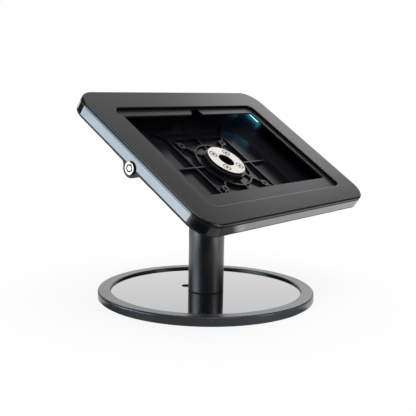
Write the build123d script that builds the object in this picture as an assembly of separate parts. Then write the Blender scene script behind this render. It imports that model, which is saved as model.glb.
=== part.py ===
"""Counter-top security stand for a tablet: a round weighted base, a bent tube column, and a
lockable enclosure that leans back to the reader and turns between landscape and portrait.

Millimetres, +Z up. The origin is the centre of the base's underside, on the column's axis, and
the enclosure faces -Y. Enclosure pieces are drawn in a face frame of their own (x to the right,
y up the slope, z out of the front face, so a depth behind the face is a negative z) and are then
tilted and lifted to their place on the column.
"""

import os
from math import atan2, cos, degrees, hypot, radians, sin, sqrt, tan

from build123d import *

# Base
base_diameter = 250.0
base_height = 10.6
mat_thickness = 1.0
mat_inset = 2.4
rim_width = 14.6
rim_edge_radius = 2.2
rim_inner_chamfer = 0.7
rim_bottom_chamfer = 0.8
rim_ledge_width = 8.4
rim_ledge_thickness = 2.2
inlay_recess = 2.5
inlay_thickness = 2.0
inlay_edge_chamfer = 0.3
rim_screw_count = 6
cable_hole_radius = 6.0
cable_hole_distance = 28.5
cable_hole_chamfer = 0.8

# Column
column_diameter = 41.0
column_wall = 2.5
column_bend_radius = 55.0
plug_thickness = 14.0
plug_chamfer = 1.0
column_bolt_circle = 22.0
column_bolt_count = 3
cable_slot_width = 12.0
cable_slot_height = 26.0
cable_slot_above_plug = 4.0
grommet_wall = 1.5
grommet_lip = 1.0

# Place of the enclosure: its front face's centre, its lean, and the hub's place on it
face_forward = 35.23
face_height = 175.66
lean_degrees = 34.05
hub_above_centre = -0.4

# Enclosure shell
enclosure_width = 313.4
enclosure_height = 214.8
corner_radius = 25.0
frame_thickness = 3.6
frame_edge_radius = 2.0
seam_gap = 0.2
seam_reveal = 1.5
wall_thickness = 3.0
wall_depth = 15.4
back_depth = 30.0
back_slope_side = 60.7
back_slope_top = 45.0
plateau_corner_radius = 26.0
back_edge_radius = 1.2
plateau_edge_radius = 8.0

# Ribs and bosses on the shell's floor
rib_depth = 23.0
rib_thickness = 1.8
rib_frame_width = 101.0
rib_frame_height = 99.0
rib_ring_radius = 35.5
side_rib_inset = 14.0
corner_rib_overreach = 8.7
inner_boss_spacing = 49.2
inner_boss_radius = 3.4
outer_boss_spacing = 75.0
outer_boss_radius = 5.0
outer_boss_hole_radius = 2.25
rib_end_boss_radius = 3.0
pilot_hole_radius = 1.3
pilot_hole_depth = 5.0
hub_pad_radius = 33.0
hub_pad_depth = 25.0
hub_boss_radius = 26.0

# Turning joint between column and enclosure
turn_range_degrees = 90.0
spigot_radius = 20.0
clamp_disc_radius = 23.7
clamp_disc_thickness = 3.0
clamp_disc_depth = 16.3
clamp_disc_chamfer = 0.5
hub_bore_radius = 9.8
washer_thickness = 1.0
flange_radius = 34.0
flange_thickness = 5.0
flange_chamfer = 1.0
clamp_screw_circle = 33.4
clamp_screw_count = 4
stop_pin_radius = 2.0
stop_pin_length = 7.0
stop_pin_circle_radius = 28.5
stop_groove_depth = 2.2
stop_groove_clearance = 0.4

# Window and mask
frame_border_side = 32.45
frame_border_top = 29.5
frame_border_bottom = 25.7
window_corner_radius = 10.0
window_edge_radius = 1.3
mask_depth = 3.2
mask_thickness = 2.0
mask_rebate_side = 9.75
mask_rebate_top = 9.2
mask_corner_radius = 8.0
mask_strip_side = 9.5
mask_strip_top = 10.6
mask_strip_bottom = 18.5
mask_window_corner_radius = 2.5
notch_bottom_left = -2.8
notch_top_left = 4.8
notch_right = 17.4

# Locating rib and right-hand hooks of the front frame
frame_rib_thickness = 1.5
frame_rib_height = 1.5
frame_rib_clearance = 0.4
hook_width = 14.0
hook_from_end = 45.1
hook_reach = 1.6
hook_top_drop = 4.6
hook_bottom_drop = 6.6
hook_slot_clearance = 0.5
hook_slot_headroom = 1.2

# Side lock
lock_rise = 0.1
lock_depth = 15.2
lock_boss_radius = 9.9
lock_boss_straight = 17.0
lock_boss_length = 34.0
lock_boss_blend = 6.0
lock_pad_thickness = 5.0
lock_pocket_radius = 8.4
lock_pocket_reach = 17.5
lock_face_radius = 7.3
lock_face_thickness = 1.1
lock_face_rounding = 0.8
lock_collar_radius = 5.9
lock_collar_height = 0.9
lock_collar_chamfer = 0.3
lock_body_radius = 6.8
lock_body_length = 12.6
lock_core_radius = 5.0
lock_core_recess = 0.3
lock_core_overhang = 0.5
keyway_outer_radius = 4.2
keyway_inner_radius = 2.5
keyway_depth = 4.0
keyway_notch_width = 1.4
clip_radius = 8.1
clip_thickness = 1.2
clip_mouth = 9.0
cam_thickness = 1.8
cam_hub_radius = 4.4
cam_arm_half_width = 2.0
cam_arm_length = 8.4
cam_locked_angle_degrees = 70.0
cam_square = 4.0
cam_hook_rise = 7.4
cam_hook_thickness = 1.5
cam_hook_reach = 7.0
lock_turn_degrees = 90.0

# Catch on the front frame that the cam holds
catch_thickness = 1.2
catch_width = 7.0
catch_lip_gap = 0.4
catch_lip_start = 5.3
catch_leg_start = 9.0
catch_foot_length = 13.0
catch_screw_spacing = 7.0

# Soft corner pads that grip the tablet
tablet_gap_side = 16.2
tablet_gap_top = 17.9
tablet_clearance = 0.5
pad_leg = 30.0
pad_leg_thickness = 9.0
pad_top_drop = 1.0
pad_corner_radius = 3.0
pad_bottom_reach = 24.0

# Screws: thread radius, head radius, head height, length under the head's face, socket radius
m6_screw = {"thread": 3.0, "head": 5.6, "head_height": 2.8, "length": 16.0, "socket": 2.2}
m5_screw = {"thread": 2.5, "head": 4.6, "head_height": 2.1, "length": 12.0, "socket": 1.8}
m4_screw = {"thread": 2.0, "head": 3.7, "head_height": 1.6, "length": 5.0, "socket": 1.4}
m3_screw = {"thread": 1.5, "head": 3.0, "head_height": 1.3, "length": 7.0, "socket": 1.0}
catch_screw = {"thread": 1.2, "head": 2.1, "head_height": 1.0, "length": 2.9, "socket": 0.8}
socket_depth_share = 0.6

# Clearances
press_gap = 0.05
running_gap = 0.08
slip_gap = 0.2
cut_overrun = 2.0

# Sizes worked out from those above
base_radius = base_diameter / 2
rim_inner_radius = base_radius - rim_width
ledge_inner_radius = rim_inner_radius - rim_ledge_width
ledge_top = mat_thickness + rim_ledge_thickness
inlay_top = base_height - inlay_recess
inlay_bottom = inlay_top - inlay_thickness
inlay_radius = rim_inner_radius - slip_gap
column_radius = column_diameter / 2
column_bore_radius = column_radius - column_wall
slot_middle = inlay_top + plug_thickness + cable_slot_above_plug + cable_slot_height / 2
spigot_end_depth = clamp_disc_depth + clamp_disc_thickness
boss_top_depth = spigot_end_depth + washer_thickness + running_gap
flange_front_depth = back_depth + washer_thickness
flange_back_depth = flange_front_depth + flange_thickness
shell_hub_radius = spigot_radius + running_gap
seam_depth = frame_thickness + seam_gap
inner_width = enclosure_width - 2 * wall_thickness
inner_height = enclosure_height - 2 * wall_thickness
inner_corner_radius = corner_radius - wall_thickness
plateau_width = enclosure_width - 2 * back_slope_side
plateau_height = enclosure_height - 2 * back_slope_top
side_rib_reach = plateau_width / 2 - side_rib_inset
corner_rib_reach = plateau_height / 2 + corner_rib_overreach
window_width = enclosure_width - 2 * frame_border_side
window_height = enclosure_height - frame_border_top - frame_border_bottom
window_rise = (frame_border_bottom - frame_border_top) / 2
mask_width = window_width + 2 * mask_rebate_side
mask_height = window_height + 2 * mask_rebate_top
mask_window_width = window_width - 2 * mask_strip_side
mask_window_height = window_height - mask_strip_top - mask_strip_bottom
mask_window_rise = window_rise + (mask_strip_bottom - mask_strip_top) / 2
hook_spacing = enclosure_height - 2 * hook_from_end
tablet_width = inner_width - 2 * tablet_gap_side
tablet_height = inner_height - 2 * tablet_gap_top
wall_x = -enclosure_width / 2
lock_face = wall_x - lock_face_thickness
lock_front = lock_face - lock_collar_height
lock_inner_face = wall_x + lock_body_length
cam_face = lock_inner_face + lock_core_overhang
mask_back_depth = mask_depth + mask_thickness

face_frame = Location(
    Plane(
        origin=(0, -face_forward, face_height),
        x_dir=(1, 0, 0),
        z_dir=(0, -sin(radians(lean_degrees)), cos(radians(lean_degrees))),
    )
)
hub_place = Location((0, hub_above_centre, 0))


def add(*solids):
    """Join solids into one shape."""
    whole = solids[0]
    for solid in solids[1:]:
        whole = whole + solid
    return whole


def cylinder(radius, low, high, x=0.0, y=0.0):
    """An upright cylinder from height low to height high."""
    return Pos(x, y, low) * Cylinder(radius, high - low, align=(Align.CENTER, Align.CENTER, Align.MIN))


def tube(outer, inner, low, high, x=0.0, y=0.0):
    return cylinder(outer, low, high, x, y) - cylinder(inner, low - cut_overrun, high + cut_overrun, x, y)


def block(x_range, y_range, z_range):
    """A box between two corners."""
    size = [high - low for low, high in (x_range, y_range, z_range)]
    return Pos(x_range[0], y_range[0], z_range[0]) * Box(*size, align=(Align.MIN, Align.MIN, Align.MIN))


def slab(width, height, radius, near_depth, far_depth, rise=0.0):
    """A rounded rectangle in the face frame, between two depths behind the face."""
    outline = Plane.XY.offset(-far_depth) * Pos(0, rise) * RectangleRounded(width, height, radius)
    return extrude(outline, amount=far_depth - near_depth)


def bowl(width, height, radius, depth, plateau, plateau_radius, plateau_depth):
    """The leaning sides and flat floor behind the straight wall."""
    rim = Plane.XY.offset(-depth) * RectangleRounded(width, height, radius)
    floor = Plane.XY.offset(-plateau_depth) * RectangleRounded(*plateau, plateau_radius)
    return loft([floor.face(), rim.face()])


def along_x(radius, start, end, y, z):
    """A cylinder that lies along X."""
    return Pos(start, y, z) * Rot(0, 90, 0) * Cylinder(
        radius, end - start, align=(Align.CENTER, Align.CENTER, Align.MIN)
    )


def circle_edges(solid, radius, height):
    """The round edges of one radius at one height."""
    return solid.edges().filter_by(GeomType.CIRCLE).filter_by(
        lambda e: abs(e.radius - radius) < press_gap and abs(e.center().Z - height) < press_gap
    )


def on_circle(count, radius, first_degrees):
    """Places evenly spaced on a circle."""
    for index in range(count):
        angle = radians(first_degrees + index * 360 / count)
        yield radius * cos(angle), radius * sin(angle)


def square_corners(spacing):
    half = spacing / 2
    return [(x * half, y * half) for x in (-1, 1) for y in (-1, 1)]


def countersunk(size):
    """A countersunk socket screw, its head's face at z = 0 and its shank pointing down."""
    head = Pos(0, 0, -size["head_height"]) * Cone(
        size["thread"], size["head"], size["head_height"], align=(Align.CENTER, Align.CENTER, Align.MIN)
    )
    shank = cylinder(size["thread"], -size["length"], -size["head_height"])
    depth = size["head_height"] * socket_depth_share + size["thread"] * socket_depth_share
    socket = extrude(RegularPolygon(size["socket"], 6), amount=-depth)
    return head + shank - socket


def countersink(size, length):
    """The hole that such a screw sits in, with its mouth at z = 0."""
    gap = press_gap
    cone = Pos(0, 0, -size["head_height"]) * Cone(
        size["thread"] + gap,
        size["head"] + gap,
        size["head_height"],
        align=(Align.CENTER, Align.CENTER, Align.MIN),
    )
    return cone + cylinder(size["head"] + gap, 0, cut_overrun) + cylinder(size["thread"] + gap, -length, 0)


# Base


def base_rim():
    low, high = mat_thickness, base_height
    outline = Polyline(
        (ledge_inner_radius, low),
        (base_radius, low),
        (base_radius, high),
        (rim_inner_radius, high),
        (rim_inner_radius, ledge_top),
        (ledge_inner_radius, ledge_top),
        close=True,
    )
    ring = revolve(Plane.XZ * make_face(outline), Axis.Z)
    ring = fillet(circle_edges(ring, base_radius, high), rim_edge_radius)
    ring = chamfer(circle_edges(ring, rim_inner_radius, high), rim_inner_chamfer)
    ring = chamfer(circle_edges(ring, base_radius, low), rim_bottom_chamfer)
    for x, y in rim_screw_places():
        ring -= Pos(x, y, low) * Rot(180, 0, 0) * countersink(m4_screw, rim_ledge_thickness + cut_overrun)
    return ring


def rim_screw_places():
    return on_circle(rim_screw_count, (rim_inner_radius + ledge_inner_radius) / 2, 30)


def column_bolt_places():
    return on_circle(column_bolt_count, column_bolt_circle / 2, 90)


def base_plate():
    """The steel weight: a disc with a rebate that sits on the rim's ledge."""
    plate = cylinder(inlay_radius, ledge_top, inlay_bottom)
    plate += cylinder(ledge_inner_radius - slip_gap, mat_thickness, ledge_top)
    plate -= cable_hole()
    for x, y in column_bolt_places():
        plate -= Pos(x, y, mat_thickness) * Rot(180, 0, 0) * countersink(m6_screw, base_height)
    for x, y in rim_screw_places():
        tip = mat_thickness + m4_screw["length"]
        plate -= cylinder(m4_screw["thread"] + press_gap, ledge_top - cut_overrun, tip + press_gap, x, y)
    return plate


def cable_hole():
    return cylinder(cable_hole_radius, -cut_overrun, base_height, 0, cable_hole_distance)


def base_inlay():
    """The polished disc that lies in the rim."""
    disc = cylinder(inlay_radius, inlay_bottom, inlay_top)
    disc = chamfer(disc.edges().group_by(Axis.Z)[-1], inlay_edge_chamfer)
    disc -= cable_hole()
    disc = chamfer(circle_edges(disc, cable_hole_radius, inlay_top), cable_hole_chamfer)
    for x, y in column_bolt_places():
        disc -= cylinder(m6_screw["thread"] + press_gap, 0, base_height, x, y)
    return disc


def base_mat():
    return cylinder(base_radius - mat_inset, 0, mat_thickness) - cable_hole()


def rim_screws():
    turned = Rot(180, 0, 0) * countersunk(m4_screw)
    return [Pos(x, y, mat_thickness) * turned for x, y in rim_screw_places()]


def column_bolts():
    turned = Rot(180, 0, 0) * countersunk(m6_screw)
    return [Pos(x, y, mat_thickness) * turned for x, y in column_bolt_places()]


# Column


def neck_points():
    """Where the column's axis starts, bends and meets the flange, in the Y-Z plane."""
    lean = radians(lean_degrees)
    hub_y = -face_forward + hub_above_centre * cos(lean)
    hub_z = face_height + hub_above_centre * sin(lean)
    to_axis = -hub_y / sin(lean)
    corner_z = hub_z - to_axis * cos(lean)
    tangent = column_bend_radius * tan(lean / 2)
    end_y = hub_y + flange_back_depth * sin(lean)
    end_z = hub_z - flange_back_depth * cos(lean)
    bend_start = (0, 0, corner_z - tangent)
    bend_end = (0, -tangent * sin(lean), corner_z + tangent * cos(lean))
    return (0, 0, inlay_top), bend_start, bend_end, (0, end_y, end_z)


def bent_rod(radius):
    """A solid rod along the column's axis."""
    foot, bend_start, bend_end, top = neck_points()
    lean = radians(lean_degrees)
    lower = Line(foot, bend_start)
    bend = TangentArc([bend_start, bend_end], tangent=(0, 0, 1))
    upper = Line(bend_end, top)
    path = lower + bend + upper
    return sweep(Plane(origin=foot, z_dir=(0, 0, 1)) * Circle(radius), path=path)


def slot_prism(width, height, y_from, y_to):
    """A rounded slot, cut or filled along Y, at the cable outlet's height."""
    outline = Pos(0, slot_middle) * SlotOverall(height, width, rotation=90)
    plane = Plane(origin=(0, y_to, 0), x_dir=(1, 0, 0), z_dir=(0, -1, 0))
    return extrude(plane * outline, amount=y_to - y_from)


def column_tube():
    shape = bent_rod(column_radius) - bent_rod(column_bore_radius)
    return shape - slot_prism(cable_slot_width, cable_slot_height, 0, column_radius + cut_overrun)


def column_plug():
    """The turned slug in the column's foot that the bolts pull down on the base."""
    plug = cylinder(column_bore_radius - press_gap, inlay_top, inlay_top + plug_thickness)
    plug = chamfer(plug.edges().group_by(Axis.Z)[-1], plug_chamfer)
    for x, y in column_bolt_places():
        tip = mat_thickness + m6_screw["length"]
        plug -= cylinder(m6_screw["thread"] + press_gap, 0, tip + press_gap, x, y)
    return plug


def cable_grommet():
    """A rubber liner round the outlet, with a lip on the outside of the tube."""
    low_y, high_y = column_bore_radius / 2, column_radius + cut_overrun
    liner = slot_prism(cable_slot_width - 2 * press_gap, cable_slot_height - 2 * press_gap, low_y, high_y)
    skin = tube(
        column_radius + grommet_lip,
        column_bore_radius,
        inlay_top,
        inlay_top + slot_middle + cable_slot_height,
    )
    lip = slot_prism(cable_slot_width + 2 * grommet_lip, cable_slot_height + 2 * grommet_lip, low_y, high_y)
    outside = tube(
        column_radius + grommet_lip,
        column_radius + press_gap,
        inlay_top,
        inlay_top + slot_middle + cable_slot_height,
    )
    passage = slot_prism(
        cable_slot_width - 2 * grommet_wall, cable_slot_height - 2 * grommet_wall, 0, high_y + cut_overrun
    )
    return (liner & skin) + (lip & outside) - passage


# Turning joint, in the face frame


def clamp_screw_places():
    return on_circle(clamp_screw_count, clamp_screw_circle / 2, 45)


def neck_flange():
    """The flange welded to the tube, with the spigot that the enclosure turns on."""
    flange = cylinder(flange_radius, -flange_back_depth, -flange_front_depth)
    flange = chamfer(flange.edges().group_by(Axis.Z)[0], flange_chamfer)
    flange += cylinder(spigot_radius, -flange_front_depth, -spigot_end_depth)
    flange -= cylinder(hub_bore_radius, -flange_back_depth - cut_overrun, 0)
    for x, y in clamp_screw_places():
        tip = clamp_disc_depth + m5_screw["length"]
        flange -= cylinder(m5_screw["thread"] + press_gap, -tip - press_gap, 0, x, y)
    flange -= cylinder(stop_pin_radius + press_gap, -flange_back_depth - cut_overrun, 0, *stop_pin_place())
    return hub_place * flange


def stop_pin_place():
    angle = radians(turn_range_degrees / 2 + 90)
    return stop_pin_circle_radius * cos(angle), stop_pin_circle_radius * sin(angle)


def stop_pin():
    x, y = stop_pin_place()
    return hub_place * cylinder(
        stop_pin_radius, -flange_back_depth, -flange_back_depth + stop_pin_length, x, y
    )


def clamp_disc():
    disc = tube(clamp_disc_radius, hub_bore_radius, -spigot_end_depth, -clamp_disc_depth)
    disc = chamfer(disc.edges().group_by(Axis.Z)[-1], clamp_disc_chamfer)
    for x, y in clamp_screw_places():
        disc -= Pos(x, y, -clamp_disc_depth) * countersink(m5_screw, m5_screw["length"])
    return hub_place * disc


def clamp_screws():
    return [
        hub_place * Pos(x, y, -clamp_disc_depth) * countersunk(m5_screw) for x, y in clamp_screw_places()
    ]


def front_washer():
    """The slippery ring under the clamp disc."""
    return hub_place * tube(
        clamp_disc_radius, shell_hub_radius, -spigot_end_depth - washer_thickness, -spigot_end_depth
    )


def rear_washer():
    outer = stop_pin_circle_radius - stop_pin_radius - stop_groove_clearance
    return hub_place * tube(outer, shell_hub_radius, -flange_front_depth, -back_depth)


# Shell, in the face frame


def shell_outside():
    wall = slab(enclosure_width, enclosure_height, corner_radius, seam_depth, wall_depth)
    back = bowl(
        enclosure_width,
        enclosure_height,
        corner_radius,
        wall_depth,
        (plateau_width, plateau_height),
        plateau_corner_radius,
        back_depth,
    )
    outside = wall + back
    rear_edges = outside.edges().filter_by(lambda e: abs(e.center().Z + wall_depth) < press_gap)
    outside = fillet(rear_edges, back_edge_radius)
    plateau_edges = outside.edges().group_by(Axis.Z)[0]
    return fillet(plateau_edges, plateau_edge_radius)


def shell_inside():
    """The hollow: straight walls, then a floor that follows the back at the wall's thickness."""
    slope = (back_depth - wall_depth) / ((enclosure_width - plateau_width) / 2)
    skin = wall_thickness * sqrt(1 + slope * slope)
    rim_depth = wall_depth - skin + wall_thickness * slope
    walls = slab(inner_width, inner_height, inner_corner_radius, -cut_overrun, rim_depth)
    floor = bowl(
        inner_width,
        inner_height,
        inner_corner_radius,
        rim_depth,
        (plateau_width, plateau_height),
        plateau_corner_radius,
        back_depth - skin,
    )
    return walls + floor


def rib(start, end, floor_depth):
    """A straight rib between two places on the floor."""
    length = hypot(end[0] - start[0], end[1] - start[1])
    angle = degrees(atan2(end[1] - start[1], end[0] - start[0]))
    half = rib_thickness / 2
    return Pos(start[0], start[1], 0) * Rot(0, 0, angle) * block(
        (0, length), (-half, half), (-floor_depth, -rib_depth)
    )


def floor_ribs():
    """The web on the floor: a square frame, a ring, spokes and screw bosses round the hub."""
    floor = back_depth - wall_thickness / 2
    half_width, half_height = rib_frame_width / 2, rib_frame_height / 2
    corners = [(-half_width, -half_height), (half_width, -half_height), (half_width, half_height)]
    corners.append((-half_width, half_height))
    pieces = [rib(corners[i], corners[(i + 1) % len(corners)], floor) for i in range(len(corners))]
    pieces.append(
        tube(
            rib_ring_radius + rib_thickness / 2, rib_ring_radius - rib_thickness / 2, -floor, -rib_depth
        )
    )
    for side in (-1, 1):
        pieces.append(rib((0, 0), (side * side_rib_reach, 0), floor))
        pieces.append(rib((0, 0), (0, side * half_height), floor))
        pieces.append(cylinder(rib_end_boss_radius, -floor, -rib_depth, side * side_rib_reach, 0))
    for x, y in square_corners(2 * corner_rib_reach):
        pieces.append(rib((0, 0), (x, y), floor))
    for x, y in square_corners(inner_boss_spacing):
        pieces.append(cylinder(inner_boss_radius, -floor, -rib_depth, x, y))
    for x, y in square_corners(outer_boss_spacing):
        pieces.append(cylinder(outer_boss_radius, -floor, -rib_depth, x, y))
    return add(*pieces)


def hub_holes():
    """Everything that is cut round the hub: its bore, the screw holes and the stop's groove."""
    holes = [cylinder(shell_hub_radius, -back_depth - cut_overrun, 0)]
    for x, y in square_corners(inner_boss_spacing):
        holes.append(cylinder(pilot_hole_radius, -rib_depth - pilot_hole_depth, 0, x, y))
    for x, y in square_corners(outer_boss_spacing):
        holes.append(cylinder(outer_boss_hole_radius, -back_depth - cut_overrun, 0, x, y))
    for side in (-1, 1):
        holes.append(
            cylinder(pilot_hole_radius, -rib_depth - pilot_hole_depth, 0, side * side_rib_reach, 0)
        )
    return holes


def stop_groove():
    """A groove in the back that the stop pin runs in: the enclosure turns by its length."""
    half = stop_pin_radius + stop_groove_clearance
    low, high = -back_depth - cut_overrun, -back_depth + stop_groove_depth
    ring = tube(stop_pin_circle_radius + half, stop_pin_circle_radius - half, low, high)
    reach = 2 * flange_radius
    x, y = stop_pin_place()
    sector = Pos(0, 0, low) * extrude(
        make_face(Polyline((0, 0), (0, reach), (reach, reach), (reach, 0), close=True)), amount=high - low
    )
    start = degrees(atan2(y, x)) - turn_range_degrees
    groove = ring & (Rot(0, 0, start) * sector)
    for angle in (start, start + turn_range_degrees):
        end_x = stop_pin_circle_radius * cos(radians(angle))
        end_y = stop_pin_circle_radius * sin(radians(angle))
        groove += cylinder(half, low, high, end_x, end_y)
    return groove


def lock_boss():
    """The round swelling in the left wall that carries the lock, blended into the wall's edge."""
    radius, straight, length = lock_boss_radius, lock_boss_straight, lock_boss_length
    wall_edge = lock_depth - wall_depth
    wall_strip = Pos(0, wall_edge) * Rectangle(6 * radius, radius, align=(Align.CENTER, Align.MIN))
    outline = Circle(radius) + wall_strip
    inner_corners = outline.vertices().filter_by(
        lambda v: abs(v.Y - wall_edge) < press_gap and abs(v.X) < 2 * radius
    )
    outline = fillet(inner_corners, lock_boss_blend)
    plane = Plane(origin=(0, 0, 0), x_dir=(0, 1, 0), z_dir=(1, 0, 0))
    swelling = extrude(plane * outline, amount=straight)
    arc = EllipticalCenterArc((straight, 0), length - straight, radius, arc_size=90)
    profile = Polyline((length, 0), (0, 0), (0, radius), (straight, radius))
    nose = revolve(make_face(profile + arc), Axis.X)
    return Pos(wall_x, lock_rise, -lock_depth) * (swelling + nose)


def rear_shell():
    y, z = lock_rise, -lock_depth
    inside = shell_inside()
    outside = shell_outside()
    shell = outside + lock_boss() - inside
    reveal_width = enclosure_width - 2 * seam_reveal
    reveal_height = enclosure_height - 2 * seam_reveal
    tongue = slab(reveal_width, reveal_height, corner_radius - seam_reveal, frame_thickness, wall_depth / 2)
    shell += tongue - slab(inner_width, inner_height, inner_corner_radius, 0, wall_depth)
    hub_parts = add(
        floor_ribs(),
        cylinder(hub_pad_radius, -back_depth, -hub_pad_depth),
        cylinder(hub_boss_radius, -back_depth, -boss_top_depth),
    )
    shell += hub_place * hub_parts & outside
    shell += along_x(lock_boss_radius, wall_x + wall_thickness / 2, wall_x + lock_pad_thickness, y, z)
    shell -= along_x(
        lock_pocket_radius, wall_x + lock_pad_thickness, wall_x + lock_pocket_reach, y, z
    )
    shell -= along_x(lock_body_radius + press_gap, wall_x - cut_overrun, wall_x + lock_body_length, y, z)
    for hole in hub_holes():
        shell -= hub_place * hole
    shell -= hub_place * stop_groove()
    for middle in hook_places():
        half = hook_width / 2 + hook_slot_clearance
        shell -= block(
            (inner_width / 2 - cut_overrun, inner_width / 2 + hook_reach + hook_slot_clearance),
            (middle - half, middle + half),
            (
                -frame_thickness - hook_bottom_drop - hook_slot_clearance,
                -frame_thickness - hook_top_drop + hook_slot_headroom,
            ),
        )
    return shell


def hook_places():
    return (-hook_spacing / 2, hook_spacing / 2)


# Front frame, in the face frame


def front_frame():
    plate = slab(enclosure_width, enclosure_height, corner_radius, 0, frame_thickness)
    plate = fillet(plate.edges().group_by(Axis.Z)[-1], frame_edge_radius)
    plate -= slab(
        window_width,
        window_height,
        window_corner_radius,
        -cut_overrun,
        frame_thickness + cut_overrun,
        window_rise,
    )
    window_edges = plate.edges().group_by(Axis.Z)[-1].filter_by(
        lambda e: abs(e.center().X) < window_width / 2 + press_gap
        and abs(e.center().Y - window_rise) < window_height / 2 + press_gap
    )
    plate = fillet(window_edges, window_edge_radius)
    plate -= slab(
        mask_width + slip_gap,
        mask_height + slip_gap,
        mask_corner_radius,
        mask_depth,
        frame_thickness + cut_overrun,
        window_rise,
    )
    rib_width = inner_width - 2 * frame_rib_clearance
    rib_height = inner_height - 2 * frame_rib_clearance
    rib_radius = inner_corner_radius - frame_rib_clearance
    rib_end = frame_thickness + frame_rib_height
    plate += slab(rib_width, rib_height, rib_radius, frame_thickness, rib_end) - slab(
        rib_width - 2 * frame_rib_thickness,
        rib_height - 2 * frame_rib_thickness,
        rib_radius - frame_rib_thickness,
        0,
        rib_end + cut_overrun,
    )
    outer = rib_width / 2
    inner = outer - frame_rib_thickness
    for middle in hook_places():
        span = (middle - hook_width / 2, middle + hook_width / 2)
        plate += block((inner, outer), span, (-frame_thickness - hook_bottom_drop, -frame_thickness))
        plate += block(
            (inner, inner_width / 2 + hook_reach),
            span,
            (-frame_thickness - hook_bottom_drop, -frame_thickness - hook_top_drop),
        )
    for x, y in catch_screw_places():
        tip = frame_thickness + catch_thickness - catch_screw["length"]
        plate -= cylinder(catch_screw["thread"] + press_gap, -frame_thickness - cut_overrun, -tip, x, y)
    return plate


def window_mask():
    """The dark glossy plate behind the window, with the camera's notch in its top strip."""
    mask = slab(mask_width, mask_height, mask_corner_radius, mask_depth, mask_back_depth, window_rise)
    mask -= slab(
        mask_window_width,
        mask_window_height,
        mask_window_corner_radius,
        0,
        mask_back_depth + cut_overrun,
        mask_window_rise,
    )
    bottom = mask_window_rise + mask_window_height / 2
    top = window_rise + window_height / 2
    notch = Polyline(
        (notch_bottom_left, bottom - mask_window_corner_radius),
        (notch_right, bottom - mask_window_corner_radius),
        (notch_right, top),
        (notch_top_left, top),
        (notch_bottom_left, bottom),
        close=True,
    )
    cut = Plane.XY.offset(-mask_back_depth - cut_overrun) * make_face(notch)
    return mask - extrude(cut, amount=mask_thickness + 2 * cut_overrun)


def catch_x_range():
    return cam_face - cam_thickness, cam_face - cam_thickness + catch_width


def catch_screw_places():
    low, high = catch_x_range()
    first = lock_rise + catch_leg_start + catch_thickness + catch_foot_length / 2 - catch_screw_spacing / 2
    return [((low + high) / 2, first + index * catch_screw_spacing) for index in range(2)]


def frame_catch():
    """The bent steel strip under the frame: a foot, a leg and a lip that the cam hooks over."""
    span = catch_x_range()
    leg_low = lock_rise + catch_leg_start
    leg_high = leg_low + catch_thickness
    foot_bottom = -frame_thickness - catch_thickness
    lip_top = -lock_depth + cam_hook_rise - catch_lip_gap
    shape = add(
        block(span, (leg_low, leg_high + catch_foot_length), (foot_bottom, -frame_thickness)),
        block(span, (leg_low, leg_high), (lip_top - catch_thickness, -frame_thickness)),
        block(span, (lock_rise + catch_lip_start, leg_high), (lip_top - catch_thickness, lip_top)),
    )
    for x, y in catch_screw_places():
        shape -= Pos(x, y, foot_bottom) * Rot(180, 0, 0) * countersink(
            catch_screw, catch_thickness + cut_overrun
        )
    return shape


def catch_screws():
    foot_bottom = -frame_thickness - catch_thickness
    return [
        Pos(x, y, foot_bottom) * Rot(180, 0, 0) * countersunk(catch_screw) for x, y in catch_screw_places()
    ]


# Lock, in the face frame


def lock_housing():
    y, z = lock_rise, -lock_depth
    flange = along_x(lock_face_radius, lock_face, wall_x, y, z)
    flange = fillet(flange.edges().group_by(Axis.X)[0], lock_face_rounding)
    collar = along_x(lock_collar_radius, lock_front, wall_x, y, z)
    collar = chamfer(collar.edges().group_by(Axis.X)[0], lock_collar_chamfer)
    body = along_x(lock_body_radius, wall_x, lock_inner_face, y, z)
    groove_x = wall_x + lock_pad_thickness
    groove = along_x(lock_body_radius + cut_overrun, groove_x, groove_x + clip_thickness, y, z) - along_x(
        clip_groove_radius(), groove_x, groove_x + clip_thickness, y, z
    )
    bore_end = lock_inner_face + cut_overrun
    bore = along_x(lock_core_radius + running_gap, lock_front - cut_overrun, bore_end, y, z)
    return flange + collar + body - groove - bore


def clip_groove_radius():
    return (lock_body_radius + lock_core_radius) / 2


def lock_clip():
    """The spring clip that holds the lock's body against the wall."""
    y, z = lock_rise, -lock_depth
    low = wall_x + lock_pad_thickness + press_gap
    high = low + clip_thickness - 2 * press_gap
    ring = along_x(clip_radius, low, high, y, z) - along_x(
        clip_groove_radius() + press_gap, low - cut_overrun, high + cut_overrun, y, z
    )
    mouth = block((low - cut_overrun, high + cut_overrun), (y - clip_mouth / 2, y + clip_mouth / 2), (z, 0))
    return ring - mouth


def lock_core():
    """The plug that the key turns: a ring-shaped keyway round a centre post, and a square tail."""
    y, z = lock_rise, -lock_depth
    face_x = lock_front + lock_core_recess
    core = along_x(lock_core_radius, face_x, cam_face - running_gap, y, z)
    keyway = along_x(keyway_outer_radius, face_x - cut_overrun, face_x + keyway_depth, y, z) - along_x(
        keyway_inner_radius, face_x - cut_overrun, face_x + keyway_depth, y, z
    )
    half = keyway_notch_width / 2
    notch = block(
        (face_x - cut_overrun, face_x + keyway_depth),
        (y - half, y + half),
        (z + keyway_inner_radius, z + lock_core_radius + cut_overrun),
    )
    square = cam_square / 2
    tail_span = (cam_face - slip_gap, cam_face + cam_thickness)
    tail = block(tail_span, (y - square, y + square), (z - square, z + square))
    hole_start, hole_end = cam_face - m3_screw["length"], cam_face + 2 * cam_thickness
    hole = along_x(m3_screw["thread"] + press_gap, hole_start, hole_end, y, z)
    return core - keyway - notch + tail - hole


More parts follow.
